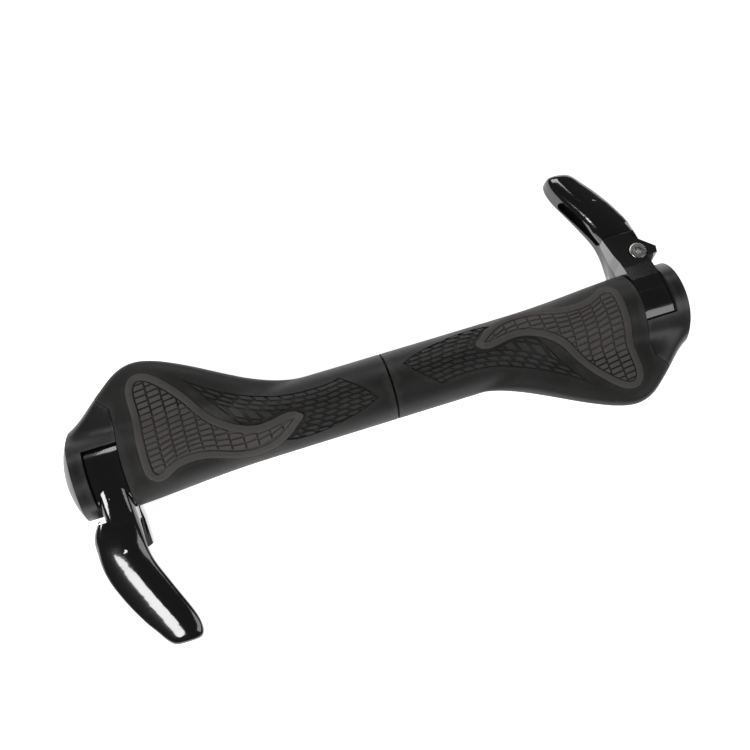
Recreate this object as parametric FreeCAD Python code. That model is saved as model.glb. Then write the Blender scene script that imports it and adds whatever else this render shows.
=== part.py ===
import FreeCAD, Part
import math
import os

# A left and right pair of winged handlebar grips, each with a clamped bar-end horn.
# One grip is built in local coordinates: x runs along the bar from the inner end,
# y points to the palm wing, z points up.  It is then placed twice, mirrored.
# All sizes are in millimetres.

V = FreeCAD.Vector

# overall sizes
BORE_R = 11.1          # handlebar of 22.2
BARREL_R = 16.0        # rubber barrel at the inner end
GRIP_LEN = 153.0       # inner end plane to the crown of the end cap
WING_REACH = 44.8      # bar axis to the wing tip
WING_HALF = 8.5        # half thickness of the wing
HORN_REACH = 84.5      # bar axis to the horn tip
ROLL_DEG = 10.7        # roll of each grip so that its horn tip rests on the table
SEAM_GAP = 1.0         # gap between the two inner ends

# stations along the bar
SLEEVE_START = SEAM_GAP / 2.0
BARREL_END = 42.0      # where the flare of the wing starts
SLOT_WIDTH = 16.0      # slot for the horn ring
CAP_DEPTH = 11.5       # domed cap beyond the slot
SLOT_OUT = GRIP_LEN - CAP_DEPTH
SLOT_IN = SLOT_OUT - SLOT_WIDTH
END_RY = 19.0          # rubber at the slot, bar side
END_RZ = 20.0          # rubber at the slot, top and bottom
DOME_R = 34.0          # half height of the elliptical dome

# core
TUBE_R = 12.7
COLLAR_R = 13.5
PLATE_R = 17.5
PLATE_T = 2.8
BLADE_T = 3.0
LIP_T = 1.2            # rubber over the inner end of the tube
LIP_CLEAR = 0.3        # lip to handlebar
SLIT_W = 1.5
PEG_R = 1.75
PEG_LEN = 9.0
PEG_Y = (20.6, 25.0)
BOSS_R = 3.0

# pads
PAD_PROUD = 0.5
PAD_SUNK = 1.2
TREAD_DEEP = 0.6       # floor of the tread zone below the rubber

# horn
RING_R = 18.0
RING_CLEAR = 0.7       # ring to slot wall, each side
RUN_FIT = 0.05         # ring on collar, bolt in its holes
WEDGE_CLEAR = 0.3
PART_GAP = 0.3
SPLIT_TOP = -2.7
SPLIT_BOTTOM = -4.2
JAW_END = 39.0
POCKET_R = 2.5         # half width of the pocket in the arm
POCKET_Z = 0.6
SHOULDER = 20.9        # horn may widen beyond this distance from the axis
SHOULDER_X = 7.0       # how far it then overhangs the end cap

# clamp bolt, M5
BOLT_R = 2.5
BOLT_LEN = 15.5
HEAD_R = 4.25
HEAD_H = 5.0
HEX_AF = 4.0
HEX_DEPTH = 2.6
WASHER_R = 4.6
WASHER_T = 1.1
BOLT_Y = -24.8
BOLT_SHIFT = 4.5       # bolt axis beyond the middle of the ring
SEAT_Z = -8.3          # floor of the counterbore in the jaw

SECTIONS = 27          # loft sections along the grip
FLARE_LEN = SLOT_OUT - BARREL_END
RING_X0 = SLOT_IN + RING_CLEAR
RING_X1 = SLOT_OUT - RING_CLEAR
RING_MID = (RING_X0 + RING_X1) / 2.0
RING_HALF = (RING_X1 - RING_X0) / 2.0
BOLT_X = RING_MID + BOLT_SHIFT
AXIS_H = END_RZ        # height of the bar axis above the table, on which the caps rest

# wing outline: (share of the flare length, share of the wing reach beyond the barrel)
WING = (
    (-0.5, 0.0), (-0.1, 0.0), (0.0, 0.015), (0.1, 0.10), (0.2, 0.24), (0.3, 0.42), (0.4, 0.61), (0.5, 0.79),
    (0.6, 0.94), (0.68, 1.0), (0.74, 0.97), (0.8, 0.86), (0.9, 0.56), (1.0, 0.24), (1.1, 0.05), (1.3, 0.0),
)

# pad outline: (share of the flare length, share of the wing reach), tail tip first
PAD = (
    (0.010, -0.018), (0.045, 0.045), (0.100, 0.053), (0.160, 0.029), (0.229, 0.024),
    (0.293, 0.067), (0.350, 0.140), (0.402, 0.236), (0.455, 0.385), (0.500, 0.535),
    (0.545, 0.660), (0.600, 0.785), (0.662, 0.866), (0.713, 0.855), (0.747, 0.760),
    (0.755, 0.560), (0.757, 0.220), (0.757, -0.040), (0.745, -0.180), (0.710, -0.240),
    (0.665, -0.222), (0.620, -0.170), (0.550, -0.141), (0.483, -0.154), (0.358, -0.246),
    (0.292, -0.277), (0.215, -0.279), (0.139, -0.234), (0.072, -0.147), (0.026, -0.067),
)

# tread zone of each face: wing side, slanted inner end, bar side, and back below the pad
TREAD_WING = (
    (0.503, 0.706), (0.447, 0.609), (0.377, 0.502), (0.307, 0.413), (0.240, 0.347), (0.184, 0.301),
    (0.121, 0.257), (0.045, 0.226), (-0.040, 0.212), (-0.120, 0.214), (-0.196, 0.237),
)
TREAD_END = ((-0.196, 0.237), (-0.278, 0.096), (-0.345, -0.064))
TREAD_BAR = (
    (-0.345, -0.064), (-0.298, -0.113), (-0.206, -0.176), (-0.106, -0.221), (0.033, -0.241),
    (0.110, -0.215), (0.160, -0.150),
)
TREAD_BACK = (
    (0.160, -0.150), (0.240, -0.050), (0.290, 0.060), (0.355, 0.250), (0.404, 0.408), (0.449, 0.560),
    (0.503, 0.706),
)


def cylinder_x(radius, x0, x1):
    return Part.makeCylinder(radius, x1 - x0, V(x0, 0, 0), V(1, 0, 0))


def box(x0, x1, y0, y1, z0, z1):
    return Part.makeBox(x1 - x0, y1 - y0, z1 - z0, V(x0, y0, z0))


def prism_z(outline, z0, z1):
    wire = Part.makePolygon([V(x, y, z0) for x, y in outline] + [V(outline[0][0], outline[0][1], z0)])
    return Part.Face(wire).extrude(V(0, 0, z1 - z0))


def loft(wires):
    return Part.makeLoft(wires, True, False)


def closed_curve(points):
    curve = Part.BSplineCurve()
    curve.interpolate(Points=points, PeriodicFlag=True)
    return Part.Wire([curve.toShape()])


def open_curve(points):
    curve = Part.BSplineCurve()
    curve.interpolate(Points=points)
    return curve.toShape()


def flare_x(share):
    return BARREL_END + FLARE_LEN * share


def smooth(share):
    share = min(max(share, 0.0), 1.0)
    return share * share * (3.0 - 2.0 * share)


# ---- outside form of the grip ---------------------------------------------------

def slab_radius(angle, width, half):
    power = 2.6
    across = (abs(math.cos(angle)) / width) ** power
    up = (abs(math.sin(angle)) / half) ** power
    return (across + up) ** (-1.0 / power)


def section_radius(angle, ry, rz, width, half):
    body = 1.0 / math.hypot(math.cos(angle) / ry, math.sin(angle) / rz)
    if width <= half:
        return body
    slab = slab_radius(angle, width, half) if math.cos(angle) > 0 else half
    return (body ** 6 + slab ** 6) ** (1.0 / 6.0)


def wing_share(share):
    """Smooth curve through the wing outline, with the slope of the neighbours at each point."""
    last = len(WING) - 2
    k = max(i for i in range(1, last) if WING[i][0] <= share)
    (x0, y0), (x1, y1), (x2, y2), (x3, y3) = WING[k - 1:k + 3]
    t = (share - x1) / (x2 - x1)
    rise1 = (y2 - y0) / (x2 - x0) * (x2 - x1)
    rise2 = (y3 - y1) / (x3 - x1) * (x2 - x1)
    bend = (2 * t ** 3 - 3 * t ** 2 + 1) * y1 + (3 * t ** 2 - 2 * t ** 3) * y2
    return max(bend + (t ** 3 - 2 * t ** 2 + t) * rise1 + (t ** 3 - t ** 2) * rise2, 0.0)


def section_wire(x, grow):
    share = (x - BARREL_END) / FLARE_LEN
    swell = smooth((share - 0.25) / 0.68)
    ry = BARREL_R + (END_RY - BARREL_R) * swell
    rz = BARREL_R + (END_RZ - BARREL_R) * swell
    reach = ry + (WING_REACH - ry) * wing_share(max(share, -0.1))
    width = (reach ** 6 - ry ** 6) ** (1.0 / 6.0)
    half = WING_HALF * smooth(0.3 + 2.5 * share)
    points = []
    for step in range(36):
        turn = 2.0 * math.pi * step / 36.0
        angle = turn - 0.68 * math.sin(turn)
        radius = section_radius(angle, ry, rz, width, half) + grow
        points.append(V(x, radius * math.cos(angle), radius * math.sin(angle)))
    return closed_curve(points)


def outside(grow):
    """The rubber's outside form, grown or shrunk by a distance."""
    pitch = (GRIP_LEN + 3.0 - SLEEVE_START) / SECTIONS
    return loft([section_wire(SLEEVE_START + pitch * step, grow) for step in range(SECTIONS + 1)])


def end_step(gap):
    """Boundary between rubber and end cap beside the slot, as (x, y) points."""
    corner = 0.6 * WING_REACH
    return [(SLOT_IN + gap, corner), (SLOT_IN + gap + 30.0, corner + 33.0)]


# ---- pieces of one grip ---------------------------------------------------------

def core_form(start):
    """Outside of the core: tube, collar, end plate, wing blade and peg bosses."""
    blade = [(flare_x(0.2), 0.0), (flare_x(0.62), 0.78 * WING_REACH),
             (SLOT_IN - 6.0, 0.70 * WING_REACH), (SLOT_IN - 1.0, 0.52 * WING_REACH), (SLOT_IN - 1.0, 0.0)]
    pieces = [cylinder_x(COLLAR_R, SLOT_IN - PLATE_T, SLOT_OUT), cylinder_x(PLATE_R, SLOT_IN - PLATE_T, SLOT_IN)]
    pieces.append(prism_z(blade, -BLADE_T / 2, BLADE_T / 2))
    for y in PEG_Y:
        start_x = SLOT_IN - PEG_LEN - 3.0
        pieces.append(Part.makeCylinder(BOSS_R, PEG_LEN + 3.0, V(start_x, y, 0), V(1, 0, 0)))
    return cylinder_x(TUBE_R, start, SLOT_OUT).fuse(pieces).removeSplitter()


def core():
    body = core_form(SLEEVE_START + LIP_T)
    body = body.cut(cylinder_x(BORE_R, 0.0, SLOT_OUT + 1.0))
    for y in PEG_Y:
        body = body.cut(peg(y, PEG_LEN, 1.0))
    for turn in (45, 135, 225, 315):
        slit = box(SLOT_IN + 1.0, SLOT_OUT + 1.0, BORE_R - 1.0, COLLAR_R + 1.0, -SLIT_W / 2, SLIT_W / 2)
        slit.rotate(V(0, 0, 0), V(1, 0, 0), turn)
        body = body.cut(slit)
    return body.removeSplitter()


def peg(y, length, root):
    return Part.makeCylinder(PEG_R, length + root, V(SLOT_IN - length, y, 0), V(1, 0, 0))


def pad(proud):
    """Top pad, standing out of the rubber by a distance."""
    points = [V(flare_x(s), WING_REACH * w, 0) for s, w in PAD]
    prism = Part.Face(closed_curve(points)).extrude(V(0, 0, 2.0 * END_RZ))
    return largest(prism.common(outside(proud)).cut(outside(-PAD_SUNK)))


def tread_recess():
    """Shallow hollow in the top face that holds the tread blocks."""
    edges = []
    for side in (TREAD_WING, TREAD_END, TREAD_BAR, TREAD_BACK):
        edges.append(open_curve([V(flare_x(s), WING_REACH * w, 0) for s, w in side]))
    prism = Part.Face(Part.Wire(edges)).extrude(V(0, 0, 2.0 * END_RZ))
    return largest(prism.cut(outside(-TREAD_DEEP)))


def underside(shape):
    return shape.mirror(V(0, 0, 0), V(0, 0, 1))


def sleeve():
    outline = [(-1.0, -80.0), (SLOT_IN, -80.0)] + end_step(0.0) + [(-1.0, end_step(0.0)[1][1])]
    body = outside(0.0).common(prism_z(outline, -40.0, 40.0))
    body = body.cut(core_form(SLEEVE_START + LIP_T))
    body = body.cut(cylinder_x(BORE_R + LIP_CLEAR, -1.0, SLEEVE_START + 2.0 * LIP_T))
    for recess in (pad(PAD_PROUD + 1.0), tread_recess()):
        body = largest(body.cut(recess).cut(underside(recess)))
    return body


def largest(shape):
    return max(shape.Solids, key=lambda s: s.Volume)


def dome():
    centre, rim, crown = V(SLOT_IN, 0, 0), V(SLOT_IN, DOME_R, 0), V(GRIP_LEN, 0, 0)
    ellipse = Part.Ellipse(rim, crown, centre)
    last = math.pi / 2.0 - 0.03
    flat = ellipse.value(last)
    arc = Part.ArcOfEllipse(ellipse, 0.0, last).toShape().toNurbs().Edges[0]
    outline = Part.Wire([Part.makePolygon([flat, V(flat.x, 0, 0), centre, rim]), arc])
    body = Part.Face(outline).revolve(V(0, 0, 0), V(1, 0, 0), 360)
    body.rotate(V(0, 0, 0), V(1, 0, 0), -135)
    return body


def end_cap():
    slot_edge = 0.27 * WING_REACH
    outline = [(SLOT_OUT, -80.0), (SLOT_OUT, slot_edge), (SLOT_IN + PART_GAP, slot_edge)]
    outline += end_step(PART_GAP) + [(GRIP_LEN + 20.0, 60.0), (GRIP_LEN + 20.0, -80.0)]
    body = outside(0.0).common(prism_z(outline, -40.0, 40.0))
    body = body.common(dome())
    body = body.cut(cylinder_x(RING_R + WEDGE_CLEAR, SLOT_IN - 1.0, SLOT_OUT))
    body = largest(body)
    for y in PEG_Y:
        body = body.fuse(peg(y, PEG_LEN - 1.0, 2.0))
    return largest(body.removeSplitter())


def horn_section(y, centre, half, low, high, slant):
    power = 2.0 / 4.5
    mid = (low + high) / 2.0
    tall = (high - low) / 2.0
    points = []
    for step in range(24):
        turn = 2.0 * math.pi * step / 24.0
        c, s = math.cos(turn), math.sin(turn)
        c = math.copysign(abs(c) ** power, c)
        s = math.copysign(abs(s) ** power, s)
        tuck = slant * c * (1.0 - s) / 2.0 if c > 0 else 0.0
        points.append(V(centre - half * c + tuck, y, mid + tall * s))
    return closed_curve(points)


def horn_arm():
    inside = [(3.0, -5.5, 17.5), (8.0, -5.0, 16.4), (14.0, -4.5, 15.2), (24.0, -3.8, 12.2)]
    free = [
        (SHOULDER, 3.6, 10.9, -3.6, 13.0, 0.0), (26.0, 3.9, 11.2, -3.6, 11.4, 1.0),
        (34.0, 3.7, 11.2, -3.6, 9.2, 2.5),
        (42.0, 2.6, 11.1, -3.9, 7.7, 4.0), (52.0, -0.9, 11.0, -4.6, 6.6, 4.5),
        (62.0, -5.2, 10.5, -5.0, 6.0, 4.0), (72.0, -9.7, 9.6, -4.9, 5.6, 3.0),
        (79.0, -12.2, 8.2, -4.6, 5.2, 2.0), (83.0, -12.8, 6.6, -3.9, 4.5, 1.2),
        (84.5, -12.8, 4.9, -2.6, 3.2, 0.5),
    ]
    root = loft([horn_section(-y, RING_MID, RING_HALF, low, high, 0.0) for y, low, high in inside])
    wires = []
    for y, shift, half, low, high, slant in free:
        reach = SHOULDER + (y - SHOULDER) * (HORN_REACH - SHOULDER) / (84.5 - SHOULDER)
        wires.append(horn_section(-reach, RING_MID + shift, half, low, high, slant))
    return root.fuse(loft(wires))


def horn_jaw():
    side = [V(0, 1.0, -17.9), V(0, -9.0, -17.7), V(0, -17.0, -16.0), V(0, -JAW_END, -9.4),
            V(0, -JAW_END, SPLIT_BOTTOM), V(0, 1.0, SPLIT_BOTTOM)]
    face = Part.Face(Part.makePolygon(side + [side[0]]))
    face.translate(V(RING_X0 - 5.0, 0, 0))
    block = face.extrude(V(RING_X1 - RING_X0 + 15.0, 0, 0))
    x0, x1 = RING_X0, RING_X1
    corners = [V(x1 - 2.6, -JAW_END + 1.5, 0), V(x1 + SHOULDER_X, -SHOULDER - 4.0, 0),
               V(x1 + SHOULDER_X - 1.5, -SHOULDER, 0), V(x1, -SHOULDER, 0), V(x1, 1.0, 0),
               V(x0, 1.0, 0), V(x0, -SHOULDER, 0), V(x0 - 0.6, -SHOULDER - 5.0, 0),
               V(x0 - 0.8, -JAW_END + 1.5, 0)]
    end = Part.Arc(corners[-1], V(RING_MID - 1.7, -JAW_END, 0), corners[0]).toShape()
    plan = Part.Face(Part.Wire([Part.makePolygon(corners), end]))
    plan.translate(V(0, 0, -30.0))
    return block.common(plan.extrude(V(0, 0, 60.0)))


def horn_pocket():
    """Rounded slot sunk into the inner side of the arm."""
    start = V(RING_MID - 5.9, -43.0, POCKET_Z)
    end = V(RING_MID - 12.5, -68.0, POCKET_Z)
    along = end.sub(start).normalize()
    inward = V(0, 0, 1).cross(along)
    up = V(0, 0, POCKET_R)
    lines = [Part.makeLine(start.add(up), end.add(up)), Part.makeLine(end.sub(up), start.sub(up))]
    ends = [Part.Arc(end.add(up), end.add(along * POCKET_R), end.sub(up)).toShape(),
            Part.Arc(start.sub(up), start.sub(along * POCKET_R), start.add(up)).toShape()]
    face = Part.Face(Part.Wire([lines[0], ends[0], lines[1], ends[1]]))
    return face.extrude(inward * (-12.0 if inward.x > 0 else 12.0))


def horn():
    ring = cylinder_x(RING_R, RING_X0, RING_X1)
    body = ring.fuse([horn_arm(), horn_jaw()])
    body = body.cut(cylinder_x(COLLAR_R + RUN_FIT, RING_X0 - 1.0, RING_X1 + 1.0))
    body = body.cut(box(RING_X0 - 12.0, RING_X1 + 12.0, -JAW_END - 3.0, -COLLAR_R + 2.0,
                        SPLIT_BOTTOM, SPLIT_TOP))
    body = body.cut(bolt_hole(WASHER_R + 0.3, -40.0, SEAT_Z))
    body = body.cut(bolt_hole(BOLT_R + RUN_FIT, SEAT_Z - 1.0, SEAT_Z + BOLT_LEN))
    return largest(body.cut(horn_pocket()))


def bolt_hole(radius, z0, z1):
    return Part.makeCylinder(radius, z1 - z0, V(BOLT_X, BOLT_Y, z0))


def lock_washer():
    body = bolt_hole(WASHER_R, SEAT_Z - WASHER_T, SEAT_Z)
    body = body.cut(bolt_hole(BOLT_R + RUN_FIT, SEAT_Z - WASHER_T - 1.0, SEAT_Z + 1.0))
    gap = box(BOLT_X + BOLT_R - 0.5, BOLT_X + WASHER_R + 1.0, BOLT_Y - 0.5, BOLT_Y + 0.5,
              SEAT_Z - WASHER_T - 1.0, SEAT_Z + 1.0)
    return body.cut(gap)


def clamp_bolt():
    seat = SEAT_Z - WASHER_T
    head = bolt_hole(HEAD_R, seat - HEAD_H, seat)
    rim = [e for e in head.Edges if e.BoundBox.ZMax < seat - HEAD_H + 0.1]
    head = head.makeFillet(0.5, rim)
    corner = HEX_AF / math.sqrt(3.0)
    hexagon = [(BOLT_X + corner * math.cos(math.radians(60 * k)),
                BOLT_Y + corner * math.sin(math.radians(60 * k))) for k in range(6)]
    head = head.cut(prism_z(hexagon, seat - HEAD_H - 1.0, seat - HEAD_H + HEX_DEPTH))
    shank = bolt_hole(BOLT_R, seat, seat + BOLT_LEN)
    tip = [e for e in shank.Edges if e.BoundBox.ZMin > seat + BOLT_LEN - 0.1]
    return head.fuse(shank.makeChamfer(0.5, tip)).removeSplitter()


# ---- placing the pair -----------------------------------------------------------

def place(shape, left):
    if left:
        out = shape.mirror(V(0, 0, 0), V(1, 0, 0))
        out.rotate(V(0, 0, 0), V(1, 0, 0), ROLL_DEG)
    else:
        out = shape.copy()
        out.rotate(V(0, 0, 0), V(1, 0, 0), 180.0 - ROLL_DEG)
    out.translate(V(0, 0, AXIS_H))
    return out


def main():
    os.makedirs("parts", exist_ok=True)
    top_pad = pad(PAD_PROUD)
    pieces = {
        "core": core(),
        "rubber_sleeve": sleeve(),
        "palm_pad_top": top_pad,
        "palm_pad_bottom": underside(top_pad),
        "end_cap": end_cap(),
        "horn": horn(),
        "lock_washer": lock_washer(),
        "clamp_bolt": clamp_bolt(),
    }
    for name, shape in pieces.items():
        place(shape, True).exportStep("parts/left_" + name + ".step")
        place(shape, False).exportStep("parts/right_" + name + ".step")


main()
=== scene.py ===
"""Winged bar end grips with clamped horns: palm pads, tread blocks, finishes, light and camera."""

import math

import bmesh
import bpy
import numpy as np
from mathutils import Matrix, Vector
from mathutils.bvhtree import BVHTree
from mathutils.geometry import delaunay_2d_cdt


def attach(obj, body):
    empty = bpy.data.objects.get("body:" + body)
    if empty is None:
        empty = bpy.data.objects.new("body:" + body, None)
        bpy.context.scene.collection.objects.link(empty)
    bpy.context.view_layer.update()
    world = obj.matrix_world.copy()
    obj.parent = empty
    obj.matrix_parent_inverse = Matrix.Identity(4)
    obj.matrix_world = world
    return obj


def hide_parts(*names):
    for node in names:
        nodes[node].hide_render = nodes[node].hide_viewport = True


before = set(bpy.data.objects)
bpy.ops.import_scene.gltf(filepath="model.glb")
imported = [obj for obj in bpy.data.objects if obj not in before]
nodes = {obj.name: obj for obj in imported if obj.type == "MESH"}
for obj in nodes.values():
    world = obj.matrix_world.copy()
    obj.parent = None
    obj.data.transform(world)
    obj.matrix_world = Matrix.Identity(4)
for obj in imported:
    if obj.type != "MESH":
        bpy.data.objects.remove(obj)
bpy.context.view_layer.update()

# ---- sizes of one grip, in millimetres ------------------------------------------
# u runs along the bar from the inner end, w toward the wing, v up out of the top face

MM = 0.001
ROLL = math.radians(10.7)
AXIS_HEIGHT = 20.0
FLARE_START = 42.0
FLARE_LENGTH = 99.5
WING_REACH = 44.8

RIM_WIDTH = 3.3
RIM_FOOT = -1.25
PAD_FLOOR = -0.95
GROOVE = 0.68
PAD_COLUMN = 6.05
PAD_ROW = 2.75
PAD_FIELD_OUT = 113.9
PAD_BLOCK_HEIGHT = 0.85
TREAD_ROW = 2.2
TREAD_BRICK = 5.4
TREAD_HEIGHT = 0.62
SMALLEST_BLOCK = 0.9    # square millimetres
SHARP_ANGLE = math.radians(38.0)

PAD_EDGE = (
    (0.010, -0.018), (0.045, 0.045), (0.100, 0.053), (0.160, 0.029), (0.229, 0.024),
    (0.293, 0.067), (0.350, 0.140), (0.402, 0.236), (0.455, 0.385), (0.500, 0.535),
    (0.545, 0.660), (0.600, 0.785), (0.662, 0.866), (0.713, 0.855), (0.747, 0.760),
    (0.755, 0.560), (0.757, 0.220), (0.757, -0.040), (0.745, -0.180), (0.710, -0.240),
    (0.665, -0.222), (0.620, -0.170), (0.550, -0.141), (0.483, -0.154), (0.358, -0.246),
    (0.292, -0.277), (0.215, -0.279), (0.139, -0.234), (0.072, -0.147), (0.026, -0.067),
)
TREAD_EDGE = (
    (0.503, 0.706), (0.447, 0.609), (0.377, 0.502), (0.307, 0.413), (0.240, 0.347), (0.184, 0.301),
    (0.121, 0.257), (0.045, 0.226), (-0.040, 0.212), (-0.120, 0.214), (-0.196, 0.237),
    (-0.278, 0.096), (-0.345, -0.064),
    (-0.298, -0.113), (-0.206, -0.176), (-0.106, -0.221), (0.033, -0.241), (0.110, -0.215),
    (0.160, -0.150), (0.240, -0.050), (0.290, 0.060), (0.355, 0.250), (0.404, 0.408), (0.449, 0.560),
)
TREAD_WING_SIDE = 11    # first points of the tread edge, along the wing

# rim section: distance in from the pad's edge, height against the pad's top
RIM_SECTION = (
    (0.0, RIM_FOOT), (0.0, -0.32), (0.10, -0.12), (0.38, 0.0), (1.65, 0.05), (2.85, 0.0),
    (3.18, -0.12), (RIM_WIDTH, -0.34), (RIM_WIDTH, RIM_FOOT),
)


def from_shares(table):
    return np.array([(FLARE_START + FLARE_LENGTH * a, WING_REACH * b) for a, b in table])


def in_row(side, u, w, v):
    """Row-frame place, in metres, of a point in a grip's own axes."""
    c, s = math.cos(ROLL), math.sin(ROLL)
    if side == "left":
        place = (-u, w * c - v * s, w * s + v * c)
    else:
        place = (u, -w * c - v * s, w * s - v * c)
    return Vector((place[0], place[1], place[2] + AXIS_HEIGHT)) * MM


def face_up(side, face):
    """Unit vector that points out of a grip's top or bottom face."""
    sign = 1.0 if face == "top" else -1.0
    return (in_row(side, 0, 0, sign) - in_row(side, 0, 0, 0)).normalized()


# ---- outlines ---------------------------------------------------------------------

def smooth_loop(points, count):
    """Evenly spaced points on the smooth closed curve through the given ones."""
    total = len(points)
    after = np.roll(points, -1, 0)
    span = np.linalg.norm(after - points, axis=1)
    before = np.roll(span, 1)
    system = np.zeros((total, total))
    for i in range(total):
        system[i, i - 1] += before[i]
        system[i, i] += 2.0 * (before[i] + span[i])
        system[i, (i + 1) % total] += span[i]
    slope = (after - points) / span[:, None]
    bend = np.linalg.solve(system, 6.0 * (slope - np.roll(slope, 1, 0)))
    fine = []
    for i in range(total):
        j = (i + 1) % total
        for b in np.linspace(0.0, span[i], 30, endpoint=False):
            a = span[i] - b
            curve = (bend[i] * a ** 3 + bend[j] * b ** 3) / (6.0 * span[i])
            line_a = (points[i] / span[i] - bend[i] * span[i] / 6.0) * a
            line_b = (points[j] / span[i] - bend[j] * span[i] / 6.0) * b
            fine.append(curve + line_a + line_b)
    return even_loop(np.array(fine), count)


def even_loop(points, count):
    closed = np.vstack([points, points[:1]])
    run = np.concatenate([[0.0], np.cumsum(np.linalg.norm(np.diff(closed, axis=0), axis=1))])
    at = np.linspace(0.0, run[-1], count, endpoint=False)
    return np.stack([np.interp(at, run, closed[:, k]) for k in (0, 1)], 1)


def area(loop):
    loop = np.asarray(loop)
    x, y = loop[:, 0], loop[:, 1]
    return 0.5 * float(np.sum(x * np.roll(y, -1) - np.roll(x, -1) * y))


class Outline:
    """Closed outline on a grip's face, with the depth of a point inside it."""

    def __init__(self, loop):
        self.loop = loop if area(loop) > 0 else loop[::-1]
        self.step = np.roll(self.loop, -1, 0) - self.loop
        self.length2 = (self.step ** 2).sum(1)

    def inward(self):
        along = np.roll(self.loop, -1, 0) - np.roll(self.loop, 1, 0)
        along /= np.linalg.norm(along, axis=1)[:, None]
        return np.stack([-along[:, 1], along[:, 0]], 1)

    def inside(self, p):
        a, b = self.loop, np.roll(self.loop, -1, 0)
        spans = (a[:, 1] > p[1]) != (b[:, 1] > p[1])
        rise = np.where(b[:, 1] == a[:, 1], 1e-9, b[:, 1] - a[:, 1])
        cross = a[:, 0] + (p[1] - a[:, 1]) / rise * (b[:, 0] - a[:, 0])
        return bool(np.count_nonzero(spans & (p[0] < cross)) % 2)

    def depth(self, p):
        """Signed depth inside, nearest point of the outline, and the direction into it."""
        t = np.clip(((p - self.loop) * self.step).sum(1) / self.length2, 0.0, 1.0)
        near = self.loop + self.step * t[:, None]
        gap = np.linalg.norm(p - near, axis=1)
        k = int(gap.argmin())
        sign = 1.0 if self.inside(p) else -1.0
        direction = (p - near[k]) / max(gap[k], 1e-6) * sign
        return sign * gap[k], near[k], direction


def keep_side(cell, point, normal):
    """The part of a convex cell on the side of a line that the normal points to."""
    kept = []
    for a, b in zip(cell, np.roll(cell, -1, 0)):
        da, db = float((a - point) @ normal), float((b - point) @ normal)
        if da >= 0:
            kept.append(a)
        if (da >= 0) != (db >= 0):
            kept.append(a + (b - a) * da / (da - db))
    return np.array(kept)


def trim(cell, outline, margin, side=1.0):
    """Cuts a convex cell back to a margin inside an outline, or outside it with side -1."""
    for _ in range(10):
        if len(cell) < 3 or abs(area(cell)) < SMALLEST_BLOCK:
            return None
        tests = np.vstack([cell, (cell + np.roll(cell, -1, 0)) / 2.0])
        found = [outline.depth(p) for p in tests]
        worst = min(found, key=lambda f: side * f[0])
        if side * worst[0] > margin - 0.03:
            return cell
        normal = worst[2] * side
        cell = keep_side(cell, worst[1] + normal * margin, normal)
    return cell if len(cell) > 2 and abs(area(cell)) > SMALLEST_BLOCK else None


def tidy_cell(cell):
    """Drops corners that lie almost on one another."""
    kept = [p for p, q in zip(cell, np.roll(cell, 1, 0)) if np.linalg.norm(p - q) > 0.12]
    return np.array(kept)


pad_outline = Outline(smooth_loop(from_shares(PAD_EDGE), 300))
tread_outline = Outline(from_shares(TREAD_EDGE))
pad_table = from_shares(PAD_EDGE)
bar_side = np.array(sorted(pad_table[18:].tolist()))
wing_side = np.array(sorted(from_shares(TREAD_EDGE[:TREAD_WING_SIDE]).tolist()))


# ---- rows of blocks -----------------------------------------------------------------

def pad_row_line(row, u):
    """Height over the bar axis of a row's lower edge: by the rim it follows the rim."""
    rest = -7.2
    base = float(np.interp(u, bar_side[:, 0], bar_side[:, 1])) + RIM_WIDTH + 0.45
    return rest + PAD_ROW * row + (base - rest) * math.exp(-row / 4.0)


def pad_cells():
    cells = []
    for column in range(12):
        outer = PAD_FIELD_OUT - PAD_COLUMN * column
        inner = outer - PAD_COLUMN
        shift = (0.0, 0.42, 0.16)[column % 3] * PAD_ROW
        for row in range(18):
            lift = shift * (1.0 - math.exp(-row / 2.0))
            top_lift = shift * (1.0 - math.exp(-(row + 1) / 2.0))
            lean = 0.25
            low_a = pad_row_line(row, inner) + lift + lean
            low_b = pad_row_line(row, outer) + lift - lean
            high_a = pad_row_line(row + 1, inner) + top_lift + lean
            high_b = pad_row_line(row + 1, outer) + top_lift - lean
            g = GROOVE / 2.0
            cell = np.array([(inner + g, low_a + g), (outer - g, low_b + g),
                             (outer - g, high_b - g), (inner + g, high_a - g)])
            cell = trim(cell, pad_outline, RIM_WIDTH + GROOVE * 0.8)
            if cell is not None:
                cells.append(tidy_cell(cell))
    return cells


def tread_row_line(row, u):
    start = wing_side[0]
    top = float(np.interp(u, wing_side[:, 0], wing_side[:, 1]))
    if u < start[0]:
        top = start[1] + 0.05 * (start[0] - u)
    return top - 0.5 - TREAD_ROW * row


def tread_cells():
    cells = []
    for row in range(10):
        for brick in range(22):
            start = 2.0 + TREAD_BRICK * (brick + 0.5 * (row % 2))
            high = tread_row_line(row, start)
            tall = 57.0 < start + TREAD_BRICK / 2 < 81.0
            if tall and row == 4:
                continue
            rows = 2 if tall and row == 3 else 1
            low = tread_row_line(row + rows, start)
            slant = 1.0 - 0.5 * min(max((start - 20.0) / 40.0, 0.0), 1.0)
            g = GROOVE / 2.0
            corners = []
            for u, line, gap in ((start + g, row + rows, g), (start + TREAD_BRICK - g, row + rows, g),
                                 (start + TREAD_BRICK - g, row, -g), (start + g, row, -g)):
                lean = slant * ((low if gap > 0 else high) - 9.0)
                corners.append((u + lean, tread_row_line(line, u + lean) + gap))
            cell = trim(np.array(corners), tread_outline, 0.45)
            if cell is not None:
                cell = trim(cell, pad_outline, 1.1, -1.0)
            if cell is not None:
                cells.append(tidy_cell(cell))
    return cells


# ---- placing flat shapes on the rubber ------------------------------------------------

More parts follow.
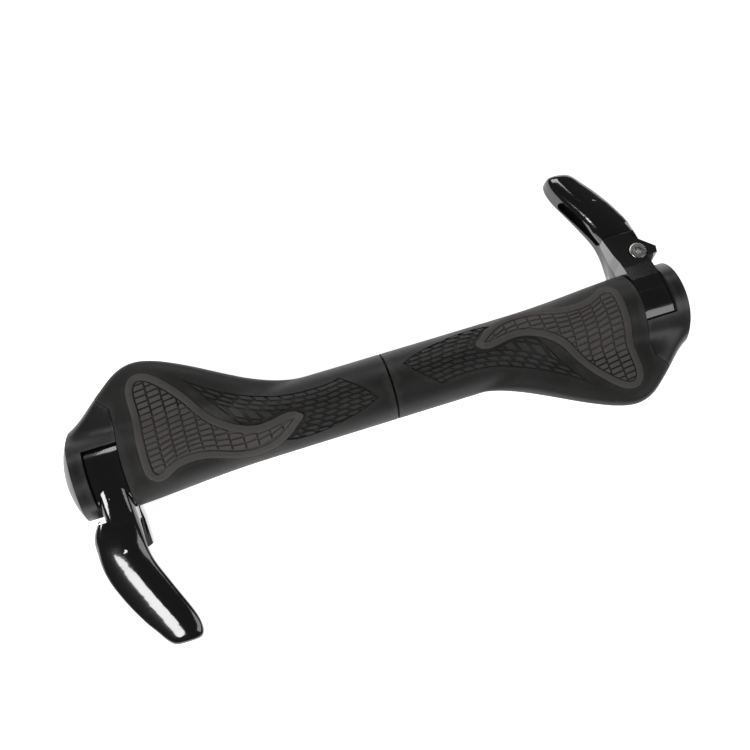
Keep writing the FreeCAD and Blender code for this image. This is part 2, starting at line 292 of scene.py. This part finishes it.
def surface_of(*names):
    """Search tree over the outsides of some CAD nodes."""
    points, faces = [], []
    for name in names:
        mesh = nodes[name].data
        first = len(points)
        points += [v.co.copy() for v in mesh.vertices]
        faces += [[first + k for k in p.vertices] for p in mesh.polygons]
    return BVHTree.FromPolygons(points, faces)


class Face:
    """One face of one grip: it drops flat points onto the rubber."""

    DROP_FROM = 45.0        # a point starts this high over the bar axis
    PROBE_FROM = 14.0       # and from here where the drop misses the rubber
    STEEPEST = 0.25         # least cosine between the rubber's normal and the face's

    def __init__(self, side, face, tree):
        self.side, self.tree = side, tree
        self.up = face_up(side, face)
        self.sign = 1.0 if face == "top" else -1.0

    def place(self, p, height):
        start = in_row(self.side, p[0], p[1], self.DROP_FROM * self.sign)
        hit, normal, _, _ = self.tree.ray_cast(start, -self.up)
        if hit is None or normal.dot(self.up) < self.STEEPEST:
            probe = in_row(self.side, p[0], p[1], self.PROBE_FROM * self.sign)
            hit, normal, _, _ = self.tree.find_nearest(probe)
        if normal.dot(self.up) < self.STEEPEST:
            normal = self.up
        return hit + normal * height * MM


def new_piece(name, points, faces):
    """Mesh object with outward faces and sharp edges kept."""
    mesh = bpy.data.meshes.new(name)
    mesh.from_pydata([tuple(p) for p in points], [], faces)
    shape = bmesh.new()
    shape.from_mesh(mesh)
    bmesh.ops.recalc_face_normals(shape, faces=shape.faces)
    shape.to_mesh(mesh)
    shape.free()
    mesh.shade_smooth()
    mesh.set_sharp_from_angle(angle=SHARP_ANGLE)
    piece = bpy.data.objects.new(name, mesh)
    bpy.context.scene.collection.objects.link(piece)
    return piece


def rim_reach():
    """How far the rim may come in at each point before it meets the rim across the tail."""
    reach = []
    for p, n in zip(pad_outline.loop, pad_outline.inward()):
        far = RIM_WIDTH
        while far > 0.3 and pad_outline.depth(p + n * far)[0] < far - 0.04:
            far -= 0.05
        reach.append(far)
    reach = np.array(reach)
    return np.minimum(reach, (np.roll(reach, 1) + reach + np.roll(reach, -1)) / 3.0)


def rim_and_floor(name, face):
    """Raised rim around a palm pad and the thin floor between its sides."""
    loop, inward = pad_outline.loop, pad_outline.inward()
    count, section = len(loop), len(RIM_SECTION)
    points, faces = [], []
    for p, n, far in zip(loop, inward, pad_reach):
        for step, height in RIM_SECTION:
            closes = far < RIM_WIDTH - 0.05 and step > far and height > RIM_FOOT
            flat = p + n * max(min(step, far), 0.02)
            points.append(face.place(flat, 0.02 if closes else height))
    for i in range(count):
        j = (i + 1) % count
        for k in range(section):
            m = (k + 1) % section
            faces.append((i * section + k, i * section + m, j * section + m, j * section + k))
    floor_points, floor_faces = floor_sheet(face)
    shift = len(points)
    points += floor_points
    faces += [tuple(shift + k for k in f) for f in floor_faces]
    return new_piece(name, points, faces)


def floor_sheet(face):
    """Closed thin plate that fills the pad inside its rim."""
    flat, triangles, rim = pad_floor
    total = len(flat)
    points = [face.place(p, PAD_FLOOR) for p in flat] + [face.place(p, RIM_FOOT) for p in flat]
    faces = list(triangles) + [tuple(total + k for k in reversed(t)) for t in triangles]
    faces += [(a, b, total + b, total + a) for a, b in rim]
    return points, faces


def floor_pattern():
    """Triangles over the inside of the pad, reaching a little under the rim."""
    edge = [p + n * max(far - 0.35, 0.2)
            for p, n, far in zip(pad_outline.loop, pad_outline.inward(), pad_reach)][::2]
    inner = Outline(np.array(edge))
    grid = [(u, w) for u in np.arange(44.0, 117.0, 1.6) for w in np.arange(-12.0, 39.0, 1.6)]
    inside = [p for p in grid if inner.depth(np.array(p))[0] > 0.6]
    points = [Vector(p) for p in edge] + [Vector(p) for p in inside]
    ring = [(k, (k + 1) % len(edge)) for k in range(len(edge))]
    flat, _, triangles, _, _, _ = delaunay_2d_cdt(points, ring, [list(range(len(edge)))], 1, 1e-5)
    triangles = [tuple(t) for t in triangles]
    uses = {}
    for t in triangles:
        for a, b in zip(t, t[1:] + t[:1]):
            uses.setdefault(frozenset((a, b)), []).append((a, b))
    rim = [sides[0] for sides in uses.values() if len(sides) == 1]
    return [np.array(p) for p in flat], triangles, rim


pad_reach = rim_reach()
pad_floor = floor_pattern()


# ---- moulded blocks (geometry nodes) ----------------------------------------------------

def block_tree():
    """Turns flat cells into moulded blocks with sloped sides and eased top edges."""
    tree = bpy.data.node_groups.new("moulded_blocks", "GeometryNodeTree")
    ask = tree.interface.new_socket
    ask("Cells", in_out="INPUT", socket_type="NodeSocketGeometry")
    for label, value in (("Height", 0.0008), ("Easing", 0.0002), ("Draft", 0.97), ("Crown", 0.9)):
        ask(label, in_out="INPUT", socket_type="NodeSocketFloat").default_value = value
    ask("Rubber", in_out="INPUT", socket_type="NodeSocketMaterial")
    ask("Blocks", in_out="OUTPUT", socket_type="NodeSocketGeometry")
    add, link = tree.nodes.new, tree.links.new
    source, result = add("NodeGroupInput"), add("NodeGroupOutput")
    side_height = add("ShaderNodeMath")
    side_height.operation = "SUBTRACT"
    link(source.outputs["Height"], side_height.inputs[0])
    link(source.outputs["Easing"], side_height.inputs[1])
    shape, top = source.outputs["Cells"], None
    for rise, share in ((side_height.outputs[0], "Draft"), (source.outputs["Easing"], "Crown")):
        raise_faces = add("GeometryNodeExtrudeMesh")
        raise_faces.mode = "FACES"
        raise_faces.inputs["Individual"].default_value = True
        link(shape, raise_faces.inputs["Mesh"])
        if top is not None:
            link(top, raise_faces.inputs["Selection"])
        link(rise, raise_faces.inputs["Offset Scale"])
        ease = add("GeometryNodeScaleElements")
        ease.domain = "FACE"
        link(raise_faces.outputs["Mesh"], ease.inputs["Geometry"])
        link(raise_faces.outputs["Top"], ease.inputs["Selection"])
        link(source.outputs[share], ease.inputs["Scale"])
        shape, top = ease.outputs["Geometry"], raise_faces.outputs["Top"]
    under = add("GeometryNodeFlipFaces")
    link(source.outputs["Cells"], under.inputs["Mesh"])
    both = add("GeometryNodeJoinGeometry")
    link(shape, both.inputs[0])
    link(under.outputs[0], both.inputs[0])
    weld = add("GeometryNodeMergeByDistance")
    weld.inputs["Distance"].default_value = 0.000002
    link(both.outputs[0], weld.inputs["Geometry"])
    real = add("GeometryNodeRealizeInstances")
    link(weld.outputs[0], real.inputs[0])
    paint = add("GeometryNodeSetMaterial")
    link(real.outputs[0], paint.inputs["Geometry"])
    link(source.outputs["Rubber"], paint.inputs["Material"])
    link(paint.outputs[0], result.inputs[0])
    return tree


def moulded_blocks(name, face, cells, foot, height, rubber):
    """One mesh of blocks that stand on a face, from flat cells."""
    points, faces = [], []
    for cell in cells:
        first = len(points)
        placed = [face.place(p, foot) for p in cell]
        normal = sum((a.cross(b) for a, b in zip(placed, placed[1:] + placed[:1])), Vector())
        order = list(range(first, first + len(placed)))
        if normal.dot(face.up) < 0:
            order.reverse()
        points += placed
        faces.append(tuple(order))
    mesh = bpy.data.meshes.new(name + "_cells")
    mesh.from_pydata([tuple(p) for p in points], [], faces)
    flat = bpy.data.objects.new(name + "_cells", mesh)
    bpy.context.scene.collection.objects.link(flat)
    maker = flat.modifiers.new("blocks", "NODES")
    maker.node_group = blocks_tree
    ids = {s.name: s.identifier for s in blocks_tree.interface.items_tree if s.in_out == "INPUT"}
    maker[ids["Height"]] = height * MM
    maker[ids["Rubber"]] = rubber
    bpy.context.view_layer.update()
    solid = bpy.data.meshes.new_from_object(flat.evaluated_get(bpy.context.evaluated_depsgraph_get()))
    bpy.data.objects.remove(flat)
    solid.name = name
    solid.set_sharp_from_angle(angle=math.radians(25.0))
    piece = bpy.data.objects.new(name, solid)
    bpy.context.scene.collection.objects.link(piece)
    return piece


blocks_tree = block_tree()


# ---- finishes -------------------------------------------------------------------------

def group_sockets(tree, inputs, outputs):
    for label, value in inputs:
        socket = tree.interface.new_socket(label, in_out="INPUT", socket_type="NodeSocketFloat")
        socket.default_value = value
    for label, kind in outputs:
        tree.interface.new_socket(label, in_out="OUTPUT", socket_type=kind)
    return tree.nodes.new("NodeGroupInput"), tree.nodes.new("NodeGroupOutput")


def noise(tree, place, scale, detail, roughness=0.55):
    node = tree.nodes.new("ShaderNodeTexNoise")
    node.inputs["Detail"].default_value = detail
    node.inputs["Roughness"].default_value = roughness
    tree.links.new(place, node.inputs["Vector"])
    if isinstance(scale, (int, float)):
        node.inputs["Scale"].default_value = scale
    else:
        tree.links.new(scale, node.inputs["Scale"])
    return node.outputs["Fac"]


def remap(tree, value, low, high):
    """Value from 0..1 spread to low..high; low and high are numbers or sockets."""
    node = tree.nodes.new("ShaderNodeMapRange")
    node.inputs["From Min"].default_value = 0.3
    node.inputs["From Max"].default_value = 0.7
    tree.links.new(value, node.inputs["Value"])
    for label, bound in (("To Min", low), ("To Max", high)):
        if isinstance(bound, (int, float)):
            node.inputs[label].default_value = bound
        else:
            tree.links.new(bound, node.inputs[label])
    return node.outputs["Result"]


def moulded_skin_group():
    """Skin of a moulded part: fine grain, soft patches of gloss, and faint handling marks."""
    tree = bpy.data.node_groups.new("moulded_skin", "ShaderNodeTree")
    source, result = group_sockets(
        tree,
        (("Grain Size", 2600.0), ("Patch Size", 45.0), ("Dull", 0.6), ("Shiny", 0.45),
         ("Dark", 0.85), ("Light", 1.15), ("Relief", 0.3)),
        (("Tone", "NodeSocketFloat"), ("Roughness", "NodeSocketFloat"), ("Normal", "NodeSocketVector")))
    place = tree.nodes.new("ShaderNodeTexCoord").outputs["Object"]
    grain = noise(tree, place, source.outputs["Grain Size"], 3.0, 0.6)
    patches = noise(tree, place, source.outputs["Patch Size"], 4.0)
    rough = remap(tree, patches, source.outputs["Shiny"], source.outputs["Dull"])
    tone = remap(tree, patches, source.outputs["Dark"], source.outputs["Light"])
    bump = tree.nodes.new("ShaderNodeBump")
    bump.inputs["Distance"].default_value = 0.00006
    tree.links.new(grain, bump.inputs["Height"])
    tree.links.new(source.outputs["Relief"], bump.inputs["Strength"])
    tree.links.new(tone, result.inputs["Tone"])
    tree.links.new(rough, result.inputs["Roughness"])
    tree.links.new(bump.outputs["Normal"], result.inputs["Normal"])
    return tree


def worn_edge_group():
    """Mask of edges and corners, where handling wears a surface lighter."""
    tree = bpy.data.node_groups.new("worn_edge", "ShaderNodeTree")
    source, result = group_sockets(tree, (("Sharpness", 6.0), ("Patch Size", 220.0)),
                                   (("Wear", "NodeSocketFloat"),))
    edge = tree.nodes.new("ShaderNodeMapRange")
    edge.inputs["From Min"].default_value = 0.505
    edge.inputs["From Max"].default_value = 0.56
    shape = tree.nodes.new("ShaderNodeNewGeometry")
    tree.links.new(shape.outputs["Pointiness"], edge.inputs["Value"])
    place = tree.nodes.new("ShaderNodeTexCoord").outputs["Object"]
    patches = noise(tree, place, source.outputs["Patch Size"], 3.0)
    spread = remap(tree, patches, 0.5, 1.0)
    wear = tree.nodes.new("ShaderNodeMath")
    wear.operation = "MULTIPLY"
    tree.links.new(edge.outputs["Result"], wear.inputs[0])
    tree.links.new(spread, wear.inputs[1])
    tree.links.new(wear.outputs[0], result.inputs["Wear"])
    return tree


skin_group = moulded_skin_group()
edge_group = worn_edge_group()


def finish(name, colour, worn_colour, settings, skin, wear=0.5):
    """Material: a colour that varies with the moulded skin and pales on worn edges."""
    material = bpy.data.materials.new(name)
    material.use_nodes = True
    tree = material.node_tree
    shader = tree.nodes["Principled BSDF"]
    for label, value in settings.items():
        shader.inputs[label].default_value = value
    skin_node = tree.nodes.new("ShaderNodeGroup")
    skin_node.node_tree = skin_group
    for label, value in skin.items():
        skin_node.inputs[label].default_value = value
    edge_node = tree.nodes.new("ShaderNodeGroup")
    edge_node.node_tree = edge_group
    toned = tree.nodes.new("ShaderNodeMix")
    toned.data_type = "RGBA"
    toned.blend_type = "MULTIPLY"
    toned.inputs[0].default_value = 1.0
    toned.inputs[6].default_value = (*colour, 1.0)
    tree.links.new(skin_node.outputs["Tone"], toned.inputs[7])
    strength = tree.nodes.new("ShaderNodeMath")
    strength.operation = "MULTIPLY"
    strength.inputs[1].default_value = wear
    tree.links.new(edge_node.outputs["Wear"], strength.inputs[0])
    worn = tree.nodes.new("ShaderNodeMix")
    worn.data_type = "RGBA"
    worn.inputs[7].default_value = (*worn_colour, 1.0)
    tree.links.new(strength.outputs[0], worn.inputs[0])
    tree.links.new(toned.outputs[2], worn.inputs[6])
    tree.links.new(worn.outputs[2], shader.inputs["Base Color"])
    tree.links.new(skin_node.outputs["Roughness"], shader.inputs["Roughness"])
    tree.links.new(skin_node.outputs["Normal"], shader.inputs["Normal"])
    return material


sleeve_rubber = finish(
    "sleeve_rubber", (0.017, 0.0165, 0.016), (0.045, 0.043, 0.041),
    {"IOR": 1.48, "Specular IOR Level": 0.32},
    {"Dull": 0.56, "Shiny": 0.44, "Relief": 0.35})
# painted highlight: the tread blocks are the sleeve's own rubber, painted a little lighter so that
# their raised tops read as lit against the shaded grooves
tread_rubber = finish(
    "tread_rubber", (0.020, 0.0195, 0.019), (0.055, 0.052, 0.050),
    {"IOR": 1.48, "Specular IOR Level": 0.32},
    {"Dull": 0.60, "Shiny": 0.48, "Relief": 0.35})
pad_rubber = finish(
    "pad_rubber", (0.062, 0.058, 0.055), (0.11, 0.10, 0.095),
    {"IOR": 1.45, "Specular IOR Level": 0.32},
    {"Dull": 0.78, "Shiny": 0.66, "Relief": 0.5, "Grain Size": 3200.0})
cap_plastic = finish(
    "cap_plastic", (0.013, 0.013, 0.0135), (0.06, 0.06, 0.06),
    {"IOR": 1.5},
    {"Dull": 0.40, "Shiny": 0.30, "Relief": 0.25, "Grain Size": 1800.0})
core_plastic = finish(
    "core_plastic", (0.02, 0.02, 0.021), (0.05, 0.05, 0.05),
    {"IOR": 1.5},
    {"Dull": 0.55, "Shiny": 0.42})
horn_paint = finish(
    "horn_paint", (0.0035, 0.0035, 0.004), (0.02, 0.02, 0.02),
    {"IOR": 1.52, "Coat Weight": 1.0, "Coat Roughness": 0.03, "Coat IOR": 1.6},
    {"Dull": 0.16, "Shiny": 0.10, "Relief": 0.04, "Patch Size": 30.0}, wear=0.2)
bolt_steel = finish(
    "bolt_steel", (0.62, 0.61, 0.60), (0.85, 0.84, 0.83),
    {"Metallic": 1.0},
    {"Dull": 0.30, "Shiny": 0.20, "Relief": 0.10, "Dark": 0.92, "Light": 1.05})
washer_steel = finish(
    "washer_steel", (0.42, 0.41, 0.40), (0.7, 0.7, 0.7),
    {"Metallic": 1.0},
    {"Dull": 0.42, "Shiny": 0.30, "Relief": 0.15})

for name, material in (("core", core_plastic), ("rubber_sleeve", sleeve_rubber),
                       ("palm_pad_top", pad_rubber), ("palm_pad_bottom", pad_rubber),
                       ("end_cap", cap_plastic), ("horn", horn_paint),
                       ("lock_washer", washer_steel), ("clamp_bolt", bolt_steel)):
    for side in ("left", "right"):
        for slot in nodes[f"{side}_{name}"].material_slots:
            slot.material = material


# ---- horns ---------------------------------------------------------------------------

RING_MID = 133.5
RING_HALF = 7.3
HORN_ROOT = 20.9        # reach at which the arm leaves the ring
ROOT_OVERHANG = 7.2     # how far the root stands past the ring
ROOT_BLEND = 10.0       # length over which the arm's outer side leaves the ring
ROOT_PULL = 3.5
ROOT_FADE = 2.0         # height over which the pull fades in above the arm's foot
JAW_REACH = 38.0        # beyond this the arm is free of the jaw
JAW_FADE = 10.0
FOOT_FADE = 4.0
EASE_BEFORE = 1.0
EASE_LENGTH = 12.0
OUTER_FALL = 1.15       # slope of the outer side, against the table's thinning
INNER_FALL = 0.25
LONGEST_EDGE = 0.0022   # metres; longer edges are split so that the shape bends smoothly
# reach, middle of the arm, half its width, foot and crest of the section
ARM_TABLE = (
    (20.9, 3.6, 10.9, -3.6, 13.0), (26.0, 3.9, 11.2, -3.6, 11.4), (34.0, 3.7, 11.2, -3.6, 9.2),
    (42.0, 2.6, 11.1, -3.9, 7.7), (52.0, -0.9, 11.0, -4.6, 6.6), (62.0, -5.2, 10.5, -5.0, 6.0),
    (72.0, -9.7, 9.6, -4.9, 5.6), (79.0, -12.2, 8.2, -4.6, 5.2), (83.0, -12.8, 6.6, -3.9, 4.5),
    (84.5, -12.8, 4.9, -2.6, 3.2),
)
# reach, how far the outer side thins, how far its edge swells out, how far the inner foot tucks in
ARM_SHAPE = (
    (20.9, 0.00, 0.0, 0.0), (27.0, 0.10, 0.0, 0.2), (34.0, 0.30, 0.5, 0.5), (42.0, 0.50, 1.7, 1.0),
    (52.0, 0.60, 3.0, 1.7), (62.0, 0.62, 3.7, 2.0), (72.0, 0.58, 3.8, 1.8), (79.0, 0.50, 3.2, 1.4),
    (83.0, 0.42, 2.4, 1.0), (84.5, 0.35, 1.8, 0.7),
)


def arm_value(table, reach, column):
    return float(np.interp(reach, [row[0] for row in table], [row[column] for row in table]))


def between(share):
    """Share held within 0 and 1."""
    return min(max(share, 0.0), 1.0)


def reshape_horn(u, w, v):
    """Moves a point of the boxy casting onto the hand-finished shape of the arm."""
    reach = -w
    if reach < HORN_ROOT - EASE_BEFORE:
        return u, w, v
    ease = between((reach - HORN_ROOT + EASE_BEFORE) / EASE_LENGTH)
    middle, half, low, high = (arm_value(ARM_TABLE, reach, k) for k in (1, 2, 3, 4))
    thin, swell, tuck = (arm_value(ARM_SHAPE, reach, k) for k in (1, 2, 3))
    ease *= max(between((reach - JAW_REACH) / JAW_FADE), between((v - low) / FOOT_FADE))
    across = (u - RING_MID - middle) / half
    rise = v - (low + high) / 2.0
    outer, inner = max(across, 0.0), max(-across, 0.0)
    share = min(max(rise / max(high - low, 1.0) * 2.0, -1.0), 1.0)
    near_root = max(1.0 - max(reach - HORN_ROOT, 0.0) / ROOT_BLEND, 0.0) ** 2
    near_root *= between((v - low) / ROOT_FADE)
    overhang = near_root * max(u - RING_MID - RING_HALF, 0.0) / ROOT_OVERHANG
    v -= ease * rise * (OUTER_FALL * thin * outer ** 1.25 + INNER_FALL * inner ** 2)
    u += ease * (swell * outer + tuck * inner * (1.0 - share) / 2.0) - ROOT_PULL * overhang
    return u, w, v


def from_row(side, p):
    """A grip's own axes, in millimetres, of a row-frame point in metres."""
    c, s = math.cos(ROLL), math.sin(ROLL)
    x, y, z = p[0] / MM, p[1] / MM, p[2] / MM - AXIS_HEIGHT
    if side == "left":
        return -x, y * c + z * s, -y * s + z * c
    return x, -y * c + z * s, -y * s - z * c


def finished_horn(side):
    """Horn of one grip: its casting, split finer and moved onto the finished shape."""
    source = nodes[f"{side}_horn"]
    shape = bmesh.new()
    shape.from_mesh(source.data)
    for _ in range(3):
        long_edges = [e for e in shape.edges if e.calc_length() > LONGEST_EDGE]
        bmesh.ops.subdivide_edges(shape, edges=long_edges, cuts=1)
    bmesh.ops.triangulate(shape, faces=shape.faces)
    for vertex in shape.verts:
        vertex.co = in_row(side, *reshape_horn(*from_row(side, vertex.co)))
    mesh = bpy.data.meshes.new(f"{side}_horn_casting")
    shape.to_mesh(mesh)
    shape.free()
    mesh.shade_smooth()
    mesh.set_sharp_from_angle(angle=SHARP_ANGLE)
    piece = bpy.data.objects.new(f"{side}_horn_casting", mesh)
    bpy.context.scene.collection.objects.link(piece)
    mesh.materials.append(horn_paint)
    return piece


for side in ("left", "right"):
    casting = finished_horn(side)
    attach(casting, f"{side}_bar_end")
    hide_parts(f"{side}_horn")


# ---- pads and tread blocks of both grips ---------------------------------------------------

pad_blocks_flat = pad_cells()
tread_blocks_flat = tread_cells()

for side in ("left", "right"):
    for face_name in ("top", "bottom"):
        pad_node = f"{side}_palm_pad_{face_name}"
        on_pad = Face(side, face_name, surface_of(pad_node))
        on_sleeve = Face(side, face_name, surface_of(f"{side}_rubber_sleeve"))
        rim = rim_and_floor(f"{side}_pad_rim_{face_name}", on_pad)
        rim.data.materials.append(pad_rubber)
        blocks = moulded_blocks(f"{side}_pad_blocks_{face_name}", on_pad, pad_blocks_flat,
                                PAD_FLOOR - 0.1, PAD_BLOCK_HEIGHT, pad_rubber)
        tread = moulded_blocks(f"{side}_tread_blocks_{face_name}", on_sleeve, tread_blocks_flat,
                               -0.1, TREAD_HEIGHT + 0.1, tread_rubber)
        for piece in (rim, blocks, tread):
            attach(piece, f"{side}_grip")
        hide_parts(pad_node)


# ---- floor, light and camera ------------------------------------------------------------------

FLOOR_GLOW = 0.85


def floor():
    mesh = bpy.data.meshes.new("studio_floor")
    half = 4.0
    corners = [(-half, -half, 0), (half, -half, 0), (half, half, 0), (-half, half, 0)]
    mesh.from_pydata(corners, [], [(0, 1, 2, 3)])
    sheet = bpy.data.objects.new("studio_floor", mesh)
    bpy.context.scene.collection.objects.link(sheet)
    material = bpy.data.materials.new("studio_floor")
    material.use_nodes = True
    shader = material.node_tree.nodes["Principled BSDF"]
    shader.inputs["Base Color"].default_value = (0.93, 0.93, 0.93, 1.0)
    shader.inputs["Roughness"].default_value = 0.7
    shader.inputs["Emission Color"].default_value = (1.0, 1.0, 1.0, 1.0)
    shader.inputs["Emission Strength"].default_value = FLOOR_GLOW
    mesh.materials.append(material)


def soft_light(name, place, aim, size, power):
    lamp = bpy.data.lights.new(name, "AREA")
    lamp.shape = "RECTANGLE"
    lamp.size, lamp.size_y = size
    lamp.energy = power
    holder = bpy.data.objects.new(name, lamp)
    holder.location = place
    holder.rotation_euler = (Vector(aim) - Vector(place)).to_track_quat("-Z", "Y").to_euler()
    bpy.context.scene.collection.objects.link(holder)


def studio():
    world = bpy.data.worlds.new("studio")
    world.use_nodes = True
    world.node_tree.nodes["Background"].inputs["Color"].default_value = (1.0, 0.985, 0.96, 1.0)
    world.node_tree.nodes["Background"].inputs["Strength"].default_value = 0.07
    bpy.context.scene.world = world
    soft_light("key_light", (-0.88, -0.38, 0.86), (-0.08, 0.0, 0.0), (0.9, 0.42), 11.0)
    soft_light("back_light", (0.15, 1.1, 0.8), (0.0, 0.0, 0.0), (1.0, 0.4), 5.0)
    soft_light("fill_light", (0.8, -0.6, 0.9), (0.0, 0.0, 0.0), (0.9, 0.6), 3.5)
    bpy.context.scene.view_settings.view_transform = "Standard"


LENS_WIDTHS = 944.36 / 750.0    # focal length in frame widths
CAMERA_DISTANCE = 0.450


def camera():
    tilt, heading, bank = (math.radians(a) for a in (76.74, 37.38, 19.79))
    level_part = math.cos(tilt)
    back = Vector((-math.sin(heading) * level_part, -math.cos(heading) * level_part, math.sin(tilt)))
    level = Vector((0, 0, 1)).cross(back).normalized()
    above = back.cross(level)
    right = level * math.cos(bank) + above * math.sin(bank)
    up = above * math.cos(bank) - level * math.sin(bank)
    lens = bpy.data.cameras.new("camera")
    lens.sensor_width = 36.0
    lens.lens = LENS_WIDTHS * lens.sensor_width
    lens.clip_start, lens.clip_end = 0.01, 20.0
    holder = bpy.data.objects.new("camera", lens)
    place = Vector((-0.00415, 0.00722, AXIS_HEIGHT * MM)) + back * CAMERA_DISTANCE
    turn = Matrix((right, up, back)).transposed()
    holder.matrix_world = Matrix.Translation(place) @ turn.to_4x4()
    bpy.context.scene.collection.objects.link(holder)
    bpy.context.scene.camera = holder


floor()
studio()
camera()
